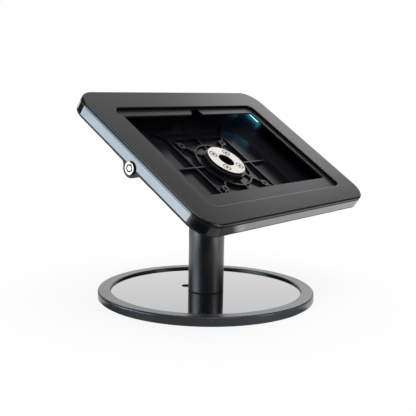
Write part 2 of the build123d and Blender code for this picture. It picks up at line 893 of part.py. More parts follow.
def cam_outline(angle_degrees):
    """The cam seen along the lock's axis: a round hub, an arm, and a hook at its tip."""
    angle = radians(angle_degrees)
    tip = (cam_arm_length * cos(angle), cam_arm_length * sin(angle))
    arm = Rot(0, 0, angle_degrees) * Pos(cam_arm_length / 2, 0) * Rectangle(
        cam_arm_length, 2 * cam_arm_half_width
    )
    hook = Pos(tip[0] - cam_arm_half_width, cam_hook_rise) * Rectangle(
        cam_hook_reach - tip[0] + cam_arm_half_width, cam_hook_thickness, align=(Align.MIN, Align.MIN)
    )
    return Circle(cam_hub_radius) + arm + hook


def lock_cam():
    """The cam, stored in its open place: turned back from its locked one by the lock's range."""
    outline = cam_outline(cam_locked_angle_degrees)
    outline = Rot(0, 0, lock_turn_degrees) * outline - Rectangle(
        cam_square + 2 * press_gap, cam_square + 2 * press_gap
    )
    plane = Plane(origin=(cam_face, lock_rise, -lock_depth), x_dir=(0, 1, 0), z_dir=(1, 0, 0))
    return extrude(plane * outline, amount=cam_thickness)


def cam_screw():
    place = Pos(cam_face + cam_thickness + m3_screw["head_height"] + press_gap, lock_rise, -lock_depth)
    return place * Rot(0, 90, 0) * pan_screw(m3_screw)


def pan_screw(size):
    """A round-headed screw, its head's face at z = 0 and its shank pointing down."""
    head = cylinder(size["head"], -size["head_height"], 0)
    head = fillet(head.edges().group_by(Axis.Z)[-1], size["head_height"] * socket_depth_share)
    shank = cylinder(size["thread"], -size["length"], -size["head_height"])
    socket = extrude(RegularPolygon(size["socket"], 6), amount=-size["head_height"] * socket_depth_share)
    return head + shank - socket


# Corner pads, in the face frame


def corner_pad(side_x, side_y, shell, inside):
    """A soft angle that fills the corner between the shell and the tablet."""
    inner_x = tablet_width / 2 + tablet_clearance
    inner_y = tablet_height / 2 + tablet_clearance
    outer_x, outer_y = inner_x + pad_leg_thickness, inner_y + pad_leg_thickness
    top = mask_back_depth + pad_top_drop
    solid = block(
        (outer_x - pad_leg, outer_x), (outer_y - pad_leg, outer_y), (-pad_bottom_reach, -top)
    )
    solid = fillet(
        solid.edges().filter_by(Axis.Z).sort_by(lambda e: e.center().X + e.center().Y)[-1], pad_corner_radius
    )
    hollow = block(
        (outer_x - 2 * pad_leg, inner_x), (outer_y - 2 * pad_leg, inner_y), (-2 * pad_bottom_reach, 0)
    )
    angle = solid - hollow
    for mirrored, plane in ((side_x < 0, Plane.YZ), (side_y < 0, Plane.XZ)):
        if mirrored:
            angle = mirror(angle, plane)
    return (Pos(0, window_rise) * angle & inside) - shell


def placed(shape):
    """Move a piece, or a group of pieces, from the face frame to its place on the column."""
    if isinstance(shape, list):
        return [face_frame * each for each in shape]
    return face_frame * shape


def write(name, shape):
    solids = shape if isinstance(shape, list) else [shape]
    flat = [solid for each in solids for solid in each.solids()]
    model = flat[0] if len(flat) == 1 else Compound(children=flat)
    model.label = name
    export_step(model, f"parts/{name}.step")


def main():
    os.makedirs("parts", exist_ok=True)
    shell = rear_shell()
    inside = shell_inside()
    pieces = {
        "base_rim": base_rim(),
        "base_plate": base_plate(),
        "base_inlay": base_inlay(),
        "base_mat": base_mat(),
        "rim_screws": rim_screws(),
        "column_bolts": column_bolts(),
        "column_tube": column_tube(),
        "column_plug": column_plug(),
        "cable_grommet": cable_grommet(),
        "neck_flange": placed(neck_flange()),
        "stop_pin": placed(stop_pin()),
        "rear_washer": placed(rear_washer()),
        "front_washer": placed(front_washer()),
        "clamp_disc": placed(clamp_disc()),
        "clamp_screws": placed(clamp_screws()),
        "rear_shell": placed(shell),
        "front_frame": placed(front_frame()),
        "window_mask": placed(window_mask()),
        "frame_catch": placed(frame_catch()),
        "catch_screws": placed(catch_screws()),
        "lock_housing": placed(lock_housing()),
        "lock_clip": placed(lock_clip()),
        "lock_core": placed(lock_core()),
        "lock_cam": placed(lock_cam()),
        "cam_screw": placed(cam_screw()),
    }
    corners = {"left": -1, "right": 1}
    levels = {"bottom": -1, "top": 1}
    for level, side_y in levels.items():
        for side, side_x in corners.items():
            pieces[f"corner_pad_{level}_{side}"] = placed(corner_pad(side_x, side_y, shell, inside))
    for name, shape in pieces.items():
        write(name, shape)


main()
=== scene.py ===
"""Finishes, soft pads, lock pins and studio for a counter stand with a lockable tablet case."""

from math import cos, pi, radians, sin

import bmesh
import bpy
from mathutils import Matrix, Vector
from mathutils.bvhtree import BVHTree


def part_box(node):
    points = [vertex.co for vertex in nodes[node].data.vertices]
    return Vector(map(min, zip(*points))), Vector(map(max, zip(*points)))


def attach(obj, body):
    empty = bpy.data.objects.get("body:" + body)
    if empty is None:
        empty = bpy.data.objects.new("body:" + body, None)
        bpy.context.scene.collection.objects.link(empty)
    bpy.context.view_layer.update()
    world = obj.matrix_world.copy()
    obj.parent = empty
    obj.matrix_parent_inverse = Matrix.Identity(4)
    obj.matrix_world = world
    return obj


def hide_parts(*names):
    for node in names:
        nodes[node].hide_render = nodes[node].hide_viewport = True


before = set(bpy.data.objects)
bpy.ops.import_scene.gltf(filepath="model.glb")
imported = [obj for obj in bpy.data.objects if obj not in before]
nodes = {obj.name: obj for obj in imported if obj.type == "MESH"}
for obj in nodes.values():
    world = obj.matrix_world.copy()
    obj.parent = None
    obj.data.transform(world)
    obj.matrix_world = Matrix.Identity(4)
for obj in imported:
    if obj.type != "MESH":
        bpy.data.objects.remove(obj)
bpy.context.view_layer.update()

bl_info = {
    "name": "Tablet kiosk stand",
    "version": (1, 0, 0),
    "blender": (4, 5, 0),
    "location": "3D View > Sidebar > Stand",
    "description": "Finishes, pads, lock pins and studio for a tablet kiosk stand",
    "category": "Object",
}

MM = 0.001

# The case's own frame: the centre of its front face, leaning back by this angle about X. Its z
# points out of the face, so -z is a depth behind the face.
CASE_CENTRE = Vector((0.0, -35.23, 175.66)) * MM
CASE_LEAN = radians(34.05)
CASE_MATRIX = Matrix.Translation(CASE_CENTRE) @ Matrix.Rotation(CASE_LEAN, 4, "X")
CASE_NORMAL = CASE_MATRIX.to_3x3() @ Vector((0, 0, 1))

# The case and its window
CASE_HALF_WIDTH = 156.7 * MM
CASE_HALF_HEIGHT = 107.4 * MM
CASE_CORNER = 25.0 * MM
CASE_WALL = 3.0 * MM
WALL_DEPTH = 15.4 * MM
FRONT_THICKNESS = 3.6 * MM
WINDOW_RISE = -1.9 * MM
WINDOW_HALF_WIDTH = 124.7 * MM
WINDOW_HALF_HEIGHT = 80.2 * MM

# In the pairs below, a finish starts to change at the first value and has changed at the second

# Depths behind the front face: the polished edge of the frame, the seam on the frame and on the
# shell, and the end of the walls' polish. The left wall's polish ends a little sooner, and left
# of SEAM_LEFT it runs on over the seam.
FACE_EDGE = 0.25 * MM, 0.9 * MM
SEAM_DEPTH = FRONT_THICKNESS + 0.4 * MM
FRAME_SEAM = 1.9 * MM, 2.4 * MM
SHELL_SEAM = SEAM_DEPTH, SEAM_DEPTH + 0.4 * MM
SEAM_LEFT = 0.5 * MM - CASE_HALF_WIDTH
POLISH_END = WALL_DEPTH - 1.8 * MM, WALL_DEPTH - 1.3 * MM
LEFT_POLISH_LOSS = 0.9 * MM
LEFT_WALL = -150.0 * MM

# The clamp disc, and where its face ends and its side starts
HUB_RISE = -0.4 * MM
DISC_DEPTH = 16.3 * MM
DISC_SIDE = DISC_DEPTH + 0.35 * MM, DISC_DEPTH + 0.6 * MM

# The disc's four screws, and distances from a screw's axis: its socket, the edge of its head
# and the gap round the head, all three with painted shade
SCREW_PLACE = 16.7 * MM * cos(radians(45))
SCREW_HEAD = 4.6 * MM
SCREW_SOCKET = 1.8 * MM, 2.1 * MM
SCREW_EDGE = SCREW_HEAD - 0.9 * MM, SCREW_HEAD - 0.6 * MM
SCREW_GAP = SCREW_HEAD + 0.35 * MM, SCREW_HEAD + 0.75 * MM

# Top of the polished disc, where the column stands, the joint there, and the duller stretch
FOOT_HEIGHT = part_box("column_tube")[0][2]
FOOT_JOINT = FOOT_HEIGHT + 0.5 * MM, FOOT_HEIGHT + 1.3 * MM
FOOT_DULL = FOOT_HEIGHT, FOOT_HEIGHT + 60 * MM

# The lock's axis, the face that its pins stand behind, and the foremost point of its housing
LOCK_RISE = 0.1 * MM
LOCK_DEPTH = 15.2 * MM
LOCK_FACE = -158.4 * MM
LOCK_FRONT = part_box("lock_housing")[0][0]

# The ring of painted shade on the lock's face, the direction in which it shows, up and deep, and
# how far that way it starts, and the painted shade inside the keyway
LOCK_RING = 5.95 * MM, 6.1 * MM
LOCK_SHADE_SIDE = (-0.81, -0.59)
LOCK_SHADE_START = -1.0 * MM, 1.5 * MM
KEYWAY_SHADE = LOCK_FRONT + 0.45 * MM, LOCK_FRONT + 0.8 * MM

# The lock's pins
PIN_LENGTH = 2.6 * MM
PIN_INSET = 0.9 * MM
PIN_TIP_ROUNDING = 0.16 * MM

# The corner pads: how deep they are before they follow the shell's floor, the rounding of their
# upright corners, and the gap that they keep to the floor
PAD_DEPTH = 8.0 * MM
PAD_CORNER = 2.6 * MM
PAD_GAP = 0.3 * MM

# Where a pad has its painted glow, as distances from the middle of the window: a band along its
# upright leg, the lobe in which the leg ends, and the end of its flat leg
PAD_BAND_DEPTH = 12.0 * MM, 12.8 * MM
PAD_BAND_RISE = 86.0 * MM, 94.0 * MM
PAD_LOBE_RISE = 67.5 * MM, 69.5 * MM
PAD_LEG_ACROSS = 137.0 * MM
PAD_END_ACROSS = 123.0 * MM, 120.0 * MM
PAD_END_DEPTH = 13.0 * MM, 15.0 * MM

# Vertices this close are on one level
LEVEL = 0.1 * MM

# Directions of the studio: the way that the camera looks, raised a little and on the floor, the
# way back to the camera, and the part of the sky that the front's lower left mirrors
SKY_AHEAD = (0.7586, 0.6365, 0.139)
FLOOR_AHEAD = (0.77, 0.64)
FLOOR_BACK = (-0.8, -0.6)
SKY_SHADED = (0.80, 0.03, 0.6)

# Level of the sky against how far a ray looks ahead, from 0 straight back to 1 straight ahead.
# It is lower near the horizon, by a ray's z, and round SKY_SHADED, by the cosine to it.
SKY_STOPS = (0.0, 0.07), (0.5, 0.08), (0.8, 0.04), (0.866, 0.06), (0.888, 0.66), (0.912, 1.0)
HORIZON = 0.01, 0.12
SKY_SHADE_EDGE = 0.97, 0.995

# The floor that mirrored rays find, in metres, or as the cosine to the way back to the camera
CAMERA_SIDE = 0.45, 0.93
BESIDE = 0.2, 0.42
NEAR_STAND = 0.2, 0.7
FRONT_TO_BACK = -0.1, 0.1
FAR_BEHIND = 0.26, 0.42
PATCH_LEFT = -0.18, -0.15
PATCH_REACH = 0.28, 0.36
PATCH_SIDE = 0.6, 0.8

# How far out the floor turns white for the camera
PAPER_TO_WHITE = 0.12, 0.34

WHITE = (1, 1, 1)


class Wire:
    """One output of a shader node, so that shader maths reads as plain arithmetic."""

    def __init__(self, finish, socket):
        self.finish = finish
        self.socket = socket

    def maths(self, operation, *values):
        settings = {"operation": operation}
        return self.finish.node("ShaderNodeMath", settings, dict(enumerate(values)))

    def __add__(self, other):
        return self.maths("ADD", self, other)

    def __sub__(self, other):
        return self.maths("SUBTRACT", self, other)

    def __rsub__(self, other):
        return self.maths("SUBTRACT", other, self)

    def __mul__(self, other):
        return self.maths("MULTIPLY", self, other)

    def __truediv__(self, other):
        return self.maths("DIVIDE", self, other)

    def __pow__(self, power):
        return self.maths("POWER", self, power)

    def __gt__(self, other):
        return self.maths("GREATER_THAN", self, other)

    def __lt__(self, other):
        return self.maths("LESS_THAN", self, other)

    def __neg__(self):
        return self.maths("MULTIPLY", self, -1.0)

    def __abs__(self):
        return self.maths("ABSOLUTE", self)

    def at_least(self, other):
        return self.maths("MAXIMUM", self, other)

    def at_most(self, other):
        return self.maths("MINIMUM", self, other)

    __radd__ = __add__
    __rmul__ = __mul__


def length(across, up):
    return (across * across + up * up) ** 0.5


def swing(noise, amount):
    """A noise's swing about its middle."""
    return (noise - 0.5) * amount


class Finish:
    """A node tree under construction, for a material or for the world."""

    def __init__(self, owner):
        owner.use_nodes = True
        self.owner = owner
        self.tree = owner.node_tree
        self.tree.nodes.clear()

    def node(self, kind, settings=None, sockets=None, out=0):
        """Add a node: its settings first, then its sockets' values or links."""
        made = self.tree.nodes.new(kind)
        for key, value in (settings or {}).items():
            if key == "stops":
                self.set_stops(made.color_ramp, value)
            else:
                setattr(made, key, value)
        for key, value in (sockets or {}).items():
            self.feed(made.inputs[key], value)
        return Wire(self, made.outputs[out]) if made.outputs else made

    def set_stops(self, ramp, stops):
        while len(ramp.elements) < len(stops):
            ramp.elements.new(0.5)
        for element, (place, level) in zip(ramp.elements, stops):
            element.position = place
            element.color = (level, level, level, 1)

    def feed(self, socket, value):
        if isinstance(value, Wire):
            self.tree.links.new(value.socket, socket)
        elif hasattr(value, "__len__") and len(value) == 3 and socket.type == "RGBA":
            socket.default_value = (*value, 1)
        else:
            socket.default_value = value

    def object_place(self):
        return self.node("ShaderNodeTexCoord", out="Object")

    def case_place(self):
        """Coordinates in the case's own frame, in metres."""
        sockets = {
            "Vector": self.object_place(),
            "Location": CASE_CENTRE,
            "Rotation": (CASE_LEAN, 0, 0),
        }
        return self.node("ShaderNodeMapping", {"vector_type": "TEXTURE"}, sockets)

    def parts(self, vector):
        split = self.node("ShaderNodeSeparateXYZ", None, {0: vector})
        return [Wire(self, output) for output in split.socket.node.outputs]

    def vector(self, x, y, z):
        return self.node("ShaderNodeCombineXYZ", None, {0: x, 1: y, 2: z})

    def dot(self, vector, direction):
        sockets = {0: vector, 1: tuple(direction)}
        return self.node("ShaderNodeVectorMath", {"operation": "DOT_PRODUCT"}, sockets, out="Value")

    def normal(self):
        return self.node("ShaderNodeTexCoord", out="Normal")

    def noise(self, place, scale, detail, roughness=0.5):
        sockets = {"Vector": place, "Scale": scale, "Detail": detail, "Roughness": roughness}
        return self.node("ShaderNodeTexNoise", None, sockets)

    def dust(self, place, scale, size):
        """Scattered specks, 1 in their middles."""
        sockets = {"Vector": place, "Scale": scale}
        distance = self.node("ShaderNodeTexVoronoi", None, sockets, out="Distance")
        return self.fade_out(distance, 0.0, size)

    def from_screw(self, place):
        """Distance to the axis of the nearest of the clamp disc's four screws."""
        x, y, _ = self.parts(place)
        return length(abs(x) - SCREW_PLACE, abs(y - HUB_RISE) - SCREW_PLACE)

    def ramp(self, value, *stops):
        return self.node("ShaderNodeValToRGB", {"stops": stops}, {0: value})

    def fade(self, value, start, end, first=0.0, last=1.0):
        """Pass smoothly from the first result at the start to the last one at the end."""
        sockets = {0: value, 1: start, 2: end, 3: first, 4: last}
        return self.node("ShaderNodeMapRange", {"interpolation_type": "SMOOTHSTEP"}, sockets)

    def fade_out(self, value, start, end):
        return self.fade(value, start, end, 1.0, 0.0)

    def mix(self, share, first, second):
        sockets = {0: share, 6: first, 7: second}
        return self.node("ShaderNodeMix", {"data_type": "RGBA"}, sockets, out=2)

    def bump(self, height, strength, distance):
        sockets = {"Height": height, "Strength": strength, "Distance": distance}
        return self.node("ShaderNodeBump", None, sockets)

    def light_path(self, kind):
        return self.node("ShaderNodeLightPath", out=kind)

    def emission(self, strength):
        return self.node("ShaderNodeEmission", None, {"Color": WHITE, "Strength": strength})

    def mix_shader(self, share, first, second):
        return self.node("ShaderNodeMixShader", None, {0: share, 1: first, 2: second})

    def surface(self, **sockets):
        """The material's Principled surface."""
        named = {key.replace("_", " "): value for key, value in sockets.items()}
        shader = self.node("ShaderNodeBsdfPrincipled", None, named)
        self.node("ShaderNodeOutputMaterial", None, {"Surface": shader})
        return self.owner


def new_finish(name):
    return Finish(bpy.data.materials.new(name))


def dress(material, *names):
    """Give CAD nodes their finish."""
    for name in names:
        mesh = nodes[name].data
        mesh.materials.clear()
        mesh.materials.append(material)


def new_mesh(name, maker, material):
    """Turn a bmesh into a mesh with one material."""
    mesh = bpy.data.meshes.new(name)
    maker.to_mesh(mesh)
    maker.free()
    mesh.materials.append(material)
    return mesh


def new_object(name, data):
    made = bpy.data.objects.new(name, data)
    bpy.context.scene.collection.objects.link(made)
    return made


def new_piece(name, maker, body, material):
    """Make a piece from a bmesh that is already in its place, and let it ride on its body."""
    mesh = new_mesh(name, maker, material)
    for polygon in mesh.polygons:
        polygon.use_smooth = True
    piece = new_object(name, mesh)
    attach(piece, body)
    return piece


def round_edges(maker, edges, radius, segments):
    bmesh.ops.bevel(
        maker,
        geom=edges,
        offset=radius,
        segments=segments,
        affect="EDGES",
        profile=0.5,
        material=-1,
    )


# Finishes


def painted_rim(look):
    """Satin black paint on the turned rim, with a fine orange peel and faint turning marks."""
    finish = new_finish("rim_paint")
    place = finish.object_place()
    x, y, z = finish.parts(place)
    peel = finish.noise(place, 700, 3)
    cloud = finish.noise(place, 24, 4, 0.6)
    rings = finish.noise(finish.vector(length(x, y) * 9, z * 9, 0.0), 140, 2)
    return finish.surface(
        Base_Color=finish.mix(cloud, look.rim_colour, look.rim_worn_colour),
        Roughness=look.rim_roughness + swing(cloud, 0.1) + swing(rings, 0.08),
        Normal=finish.bump(peel * 0.6 + rings * 0.4, 0.04, 0.06 * MM),
        IOR=1.5,
    )


def mirror_inlay(look):
    """A polished black disc with a little dust and very faint wiping marks."""
    finish = new_finish("inlay_polish")
    place = finish.object_place()
    wipe = finish.noise(place, 16, 5, 0.65)
    dust = finish.dust(place, 420, 0.09)
    return finish.surface(
        Base_Color=finish.mix(dust * 0.25, look.inlay_colour, (0.25, 0.25, 0.26)),
        Roughness=look.inlay_roughness + wipe * 0.05 + dust * 0.2,
        Normal=finish.bump(wipe, 0.04, 0.2 * MM),
        IOR=1.7,
        Coat_Weight=1.0 - dust * 0.3,
        Coat_Roughness=0.02,
        Coat_IOR=1.5,
    )


def powder_coat(name, look):
    """A fine satin powder coat on steel tube, duller towards the joint in which it stands."""
    finish = new_finish(name)
    place = finish.object_place()
    _, _, z = finish.parts(place)
    dulled = finish.fade_out(z, *FOOT_JOINT) + finish.fade(z, *FOOT_DULL, 0.4, 0.0)
    grain = finish.noise(place, 1500, 2)
    cloud = finish.noise(place, 30, 4)
    return finish.surface(
        Base_Color=finish.mix(cloud, look.column_colour, look.column_pale_colour),
        Roughness=look.column_roughness + swing(grain, 0.12) + swing(cloud, 0.08) + dulled * 0.6,
        Normal=finish.bump(grain, 0.18, 0.04 * MM),
        IOR=1.8,
    )


def shell_moulding(look):
    """The shell: polished outside, and satin with a fine spark-eroded grain inside."""
    finish = new_finish("shell_moulding")
    place = finish.case_place()
    x, y, z = finish.parts(place)

    # How far a point lies from the case's outline with its round corners, negative inside it
    over_x = abs(x) - (CASE_HALF_WIDTH - CASE_CORNER)
    over_y = abs(y) - (CASE_HALF_HEIGHT - CASE_CORNER)
    round_part = length(over_x.at_least(0), over_y.at_least(0))
    from_outline = round_part + over_x.at_least(over_y).at_most(0) - CASE_CORNER
    facing = finish.dot(finish.normal(), CASE_NORMAL)
    inside = (from_outline < -0.5 * CASE_WALL) * (facing > -0.5)
    outside = 1 - inside

    # Matt are the back, from the end of the polish on, and the seam under the front frame
    depth = -z + (x < LEFT_WALL) * LEFT_POLISH_LOSS
    back = finish.fade(depth, *POLISH_END)
    seam = finish.fade_out(-z, *SHELL_SEAM)
    matt = back.at_least(seam * (x > SEAM_LEFT))
    polished = 1 - matt

    grain = finish.noise(place, 1300, 3)
    cloud = finish.noise(place, 14, 4)
    flow = finish.noise(place, 60, 2)
    outer = finish.mix(cloud, look.shell_colour, look.shell_edge_colour)
    inner = finish.mix(cloud, look.inside_colour, look.inside_pale_colour)
    rough_out = (look.shell_roughness + cloud * 0.03) * polished + (0.62 + grain * 0.1) * matt
    rough_in = look.inside_roughness + swing(grain, 0.16) + swing(cloud, 0.1)
    height = grain * inside.at_least(matt) + flow * outside * 0.2
    return finish.surface(
        Base_Color=finish.mix(inside, outer, inner),
        Roughness=rough_out * outside + rough_in * inside,
        Normal=finish.bump(height, 0.2, 0.04 * MM),
        Coat_Weight=outside * polished * 0.9,
        Coat_Roughness=0.03,
        IOR=1.5,
    )


def front_moulding(look):
    """The front frame: a finely grained satin face, with polished edges and window walls."""
    finish = new_finish("front_moulding")
    place = finish.case_place()
    x, y, z = finish.parts(place)
    polished = finish.fade(-z, *FACE_EDGE)
    seam = finish.fade(-z, *FRAME_SEAM) * (-z < SEAM_DEPTH) * (x > SEAM_LEFT)
    in_height = abs(y - WINDOW_RISE) < WINDOW_HALF_HEIGHT
    window = (abs(x) < WINDOW_HALF_WIDTH) * in_height
    grain = finish.noise(place, 1900, 3, 0.6)
    cloud = finish.noise(place, 10, 4)
    satin = finish.mix(cloud, look.front_colour, look.front_pale_colour)
    rough = look.front_roughness + swing(grain, 0.14) + swing(cloud, 0.06)
    face = 1 - polished
    return finish.surface(
        Base_Color=finish.mix(polished, satin, look.front_edge_colour),
        Metallic=polished * window,
        Roughness=rough * face + look.shell_roughness * polished + seam * 0.6,
        Normal=finish.bump(grain * face, 0.16, 0.03 * MM),
        IOR=1.5,
    )


def gloss_sheet(look):
    """The mask behind the window: a gloss black sheet with faint waviness and dust."""
    finish = new_finish("mask_sheet")
    place = finish.case_place()
    wave = finish.noise(place, 22, 3)
    dust = finish.dust(place, 500, 0.08)
    return finish.surface(
        Base_Color=finish.mix(dust * 0.3, look.mask_colour, (0.2, 0.2, 0.2)),
        Roughness=look.mask_roughness + wave * 0.06 + dust * 0.2,
        Normal=finish.bump(wave, 0.05, 0.3 * MM),
        IOR=1.42,
    )


def turned_disc(look):
    """Pale, fine-turned metal, dark at its side, with painted shade round the screws' heads."""
    finish = new_finish("turned_disc")
    place = finish.case_place()
    x, y, z = finish.parts(place)
    # Painted shade in the gaps round the screws' heads, and a dark side to the disc
    gap = finish.fade_out(finish.from_screw(place), *SCREW_GAP)
    dark = gap.at_least(finish.fade(-z, *DISC_SIDE))
    rings = finish.noise(finish.vector(length(x, y - HUB_RISE) * 4, 0.0, 0.0), 900, 2)
    mottle = finish.noise(place, 260, 4)
    face = finish.mix(mottle, look.disc_colour, look.disc_warm_colour)
    return finish.surface(
        Base_Color=finish.mix(dark, face, look.disc_side_and_painted_shade_colour),
        Metallic=(1 - dark) * 0.15,
        Roughness=look.disc_roughness + swing(rings, 0.2) + swing(mottle, 0.1),
        Normal=finish.bump(rings, 0.12, 0.04 * MM),
    )


def plated_steel(name, colour, dark, roughness):
    """Plated or blackened steel for screws, pins and clips, with handling marks."""
    finish = new_finish(name)
    place = finish.object_place()
    marks = finish.noise(place, 800, 4, 0.65)
    fine = finish.noise(place, 4000, 2)
    return finish.surface(
        Base_Color=finish.mix(finish.ramp(marks, (0.35, 0.0), (0.7, 1.0)), colour, dark),
        Metallic=1.0,
        Roughness=roughness + swing(marks, 0.18),
        Normal=finish.bump(fine, 0.1, 0.02 * MM),
    )


def socket_screw(look):
    """Zinc-plated socket screws, with painted shade in the socket and round the head's edge."""
    finish = new_finish("screw_zinc")
    place = finish.case_place()
    radius = finish.from_screw(place)
    # Painted shade in the socket and round the edge of the head
    dark = finish.fade(radius, *SCREW_EDGE).at_least(finish.fade_out(radius, *SCREW_SOCKET))
    marks = finish.noise(place, 800, 4, 0.65)
    fine = finish.noise(place, 4000, 2)
    zinc = finish.mix(marks, look.disc_colour, look.disc_warm_colour)
    return finish.surface(
        Base_Color=finish.mix(dark, zinc, look.disc_side_and_painted_shade_colour),
        Metallic=(1 - dark) * 0.4,
        Roughness=0.3 + swing(marks, 0.18),
        Normal=finish.bump(fine, 0.1, 0.02 * MM),
    )


def lock_chrome(name, roughness, hollow):
    """Chrome with a painted ring of shade on one side of the face, and painted shade where it is
    hollow.
    """
    finish = new_finish(name)
    place = finish.case_place()
    x, y, z = finish.parts(place)
    up, deep = y - LOCK_RISE, -z - LOCK_DEPTH
    shade_up, shade_deep = LOCK_SHADE_SIDE
    side = up * shade_up + deep * shade_deep
    # Painted shade: a crescent of shadow at the edge of the face, and shade inside the keyway
    ring = finish.fade(length(up, deep), *LOCK_RING) * finish.fade(side, *LOCK_SHADE_START)
    shade = ring.at_least(finish.fade(x, *KEYWAY_SHADE) * hollow)
    marks = finish.noise(place, 900, 4, 0.6)
    fine = finish.noise(place, 4000, 2)
    chrome = finish.mix(marks, (0.34, 0.29, 0.255), (0.28, 0.24, 0.21))
    return finish.surface(
        Base_Color=finish.mix(shade, chrome, (0.01, 0.011, 0.014)),
        Metallic=1.0,
        Roughness=roughness + swing(marks, 0.1) + shade * 0.4,
        Normal=finish.bump(fine, 0.08, 0.02 * MM),
    )


def matt_rubber(name, colour, pale):
    """Matt rubber or plastic with a fine grain and a faint bloom."""
    finish = new_finish(name)
    place = finish.object_place()
    grain = finish.noise(place, 1100, 3)
    bloom = finish.noise(place, 40, 4)
    return finish.surface(
        Base_Color=finish.mix(bloom, colour, pale),
        Roughness=0.8 + swing(grain, 0.2),
        Normal=finish.bump(grain, 0.3, 0.1 * MM),
    )


def clear_silicone(look):
    """Clear blue silicone, cloudy inside, with painted glowing bands along its edges, though it is
    no lamp.
    """
    finish = new_finish("pad_silicone")
    place = finish.case_place()
    x, y, z = finish.parts(place)
    across, up, depth = abs(x), abs(y - WINDOW_RISE), -z
    cloud = finish.noise(place, 180, 4, 0.6)
    skin = finish.noise(place, 900, 2)
    ripple = finish.noise(finish.vector(across, up * 0.15, depth), 900, 3)
    band = finish.fade(depth, *PAD_BAND_DEPTH) * finish.fade(up, *PAD_BAND_RISE, 1.0, 0.15)
    lobe = finish.fade_out(up, *PAD_LOBE_RISE)
    leg = band.at_least(lobe * 0.8) * (across > PAD_LEG_ACROSS)
    end = finish.fade(across, *PAD_END_ACROSS) * finish.fade(depth, *PAD_END_DEPTH)
    glow = leg.at_least(end * 0.4) * (0.75 + ripple * 0.5)
    return finish.surface(
        Base_Color=finish.mix(cloud, look.pad_colour, look.pad_deep_colour),
        Roughness=look.pad_roughness + swing(skin, 0.1),
        Normal=finish.bump(skin, 0.1, 0.1 * MM),
        IOR=1.41,
        Transmission_Weight=0.45,
        # Painted light: the pads emit a glow, brightest in bands along their edges, though they are
        # no lamp
        Emission_Color=finish.mix(glow, look.pad_painted_dim_glow_colour, look.pad_painted_glow_colour),
        Emission_Strength=2.8,
    )


# Properties


def colour_property(name, description, default):
    return bpy.props.FloatVectorProperty(
        name=name,
        description=description,
        default=default,
        size=3,
        subtype="COLOR",
        min=0.0,
        max=1.0,
    )


def share_property(name, description, default, top=1.0):
    return bpy.props.FloatProperty(
        name=name, description=description, default=default, subtype="FACTOR", min=0.0, max=top
    )


def length_property(name, description, default):
    return bpy.props.FloatProperty(
        name=name, description=description, default=default, subtype="DISTANCE", unit="LENGTH"
    )


def angle_property(name, description, degrees):
    return bpy.props.FloatProperty(
        name=name, description=description, default=radians(degrees), subtype="ANGLE"
    )


def power_property(name, description, default):
    return bpy.props.FloatProperty(
        name=name, description=description, default=default, unit="POWER"
    )


class StandFinishes(bpy.types.PropertyGroup):
    """Colours and polish of the stand's own surfaces."""

    rim_colour: colour_property("Rim", "Paint of the base's rim", (0.06, 0.068, 0.08))
    rim_worn_colour: colour_property(
        "Rim, pale", "Paler patches of the rim's paint", (0.07, 0.075, 0.082)
    )
    rim_roughness: share_property("Rim roughness", "How dull the rim's paint is", 0.27)
    inlay_colour: colour_property("Inlay", "Polished disc of the base", (0.012, 0.012, 0.013))
    inlay_roughness: share_property("Inlay roughness", "How dull the disc is", 0.03)
    column_colour: colour_property("Column", "Powder coat of the column", (0.004, 0.004, 0.005))
    column_pale_colour: colour_property(
        "Column, pale", "Paler patches of the coat", (0.007, 0.007, 0.009)
    )
    column_roughness: share_property("Column roughness", "How dull the coat is", 0.22)
    shell_colour: colour_property("Shell", "Polished outside of the shell", (0.005, 0.006, 0.008))
    shell_edge_colour: colour_property("Shell, pale", "Paler patches outside", (0.007, 0.008, 0.01))
    shell_roughness: share_property("Shell roughness", "How dull the outside is", 0.05)
    inside_colour: colour_property("Inside", "Satin inside of the shell", (0.004, 0.004, 0.006))
    inside_pale_colour: colour_property(
        "Inside, pale", "Paler patches inside", (0.007, 0.007, 0.01)
    )
    inside_roughness: share_property("Inside roughness", "How dull the inside is", 0.27)
    front_colour: colour_property("Front", "Satin front frame", (0.004, 0.0043, 0.005))
    front_pale_colour: colour_property(
        "Front, pale", "Paler patches of the front", (0.006, 0.0065, 0.0075)
    )
    front_edge_colour: colour_property(
        "Front, edges", "Polished edges of the front", (0.004, 0.004, 0.005)
    )
    front_roughness: share_property("Front roughness", "How dull the front is", 0.31)
    mask_colour: colour_property("Mask", "Gloss sheet behind the window", (0.014, 0.014, 0.014))
    mask_roughness: share_property("Mask roughness", "How dull the sheet is", 0.28)
    disc_colour: colour_property("Clamp disc", "Turned disc in the case", (0.98, 0.945, 0.9))
    disc_warm_colour: colour_property(
        "Clamp disc, warm", "Warmer patches of the disc", (0.94, 0.89, 0.82)
    )
    # Dark colour of the disc's side, also used for the painted shade at the screws
    disc_side_and_painted_shade_colour: colour_property(
        "Clamp disc, side", "Blackened side of the disc", (0.005, 0.005, 0.006)
    )
    disc_roughness: share_property("Disc roughness", "How dull the disc is", 0.42)
    pad_colour: colour_property("Pad", "Clear silicone of the corner pads", (0.12, 0.62, 0.9))
    pad_deep_colour: colour_property("Pad, deep", "Thick parts of the pads", (0.02, 0.3, 0.55))
    # Painted glow, emitted in the pads' bands and edges
    pad_painted_glow_colour: colour_property(
        "Pad, bands", "Light caught in the pads' edges", (0.13, 0.42, 0.55)
    )
    # Painted dim glow, emitted by the pads everywhere else
    pad_painted_dim_glow_colour: colour_property(
        "Pad, shade", "Glow of the pads elsewhere", (0.001, 0.008, 0.016)
    )
    pad_roughness: share_property("Pad roughness", "How dull the pads are", 0.14)


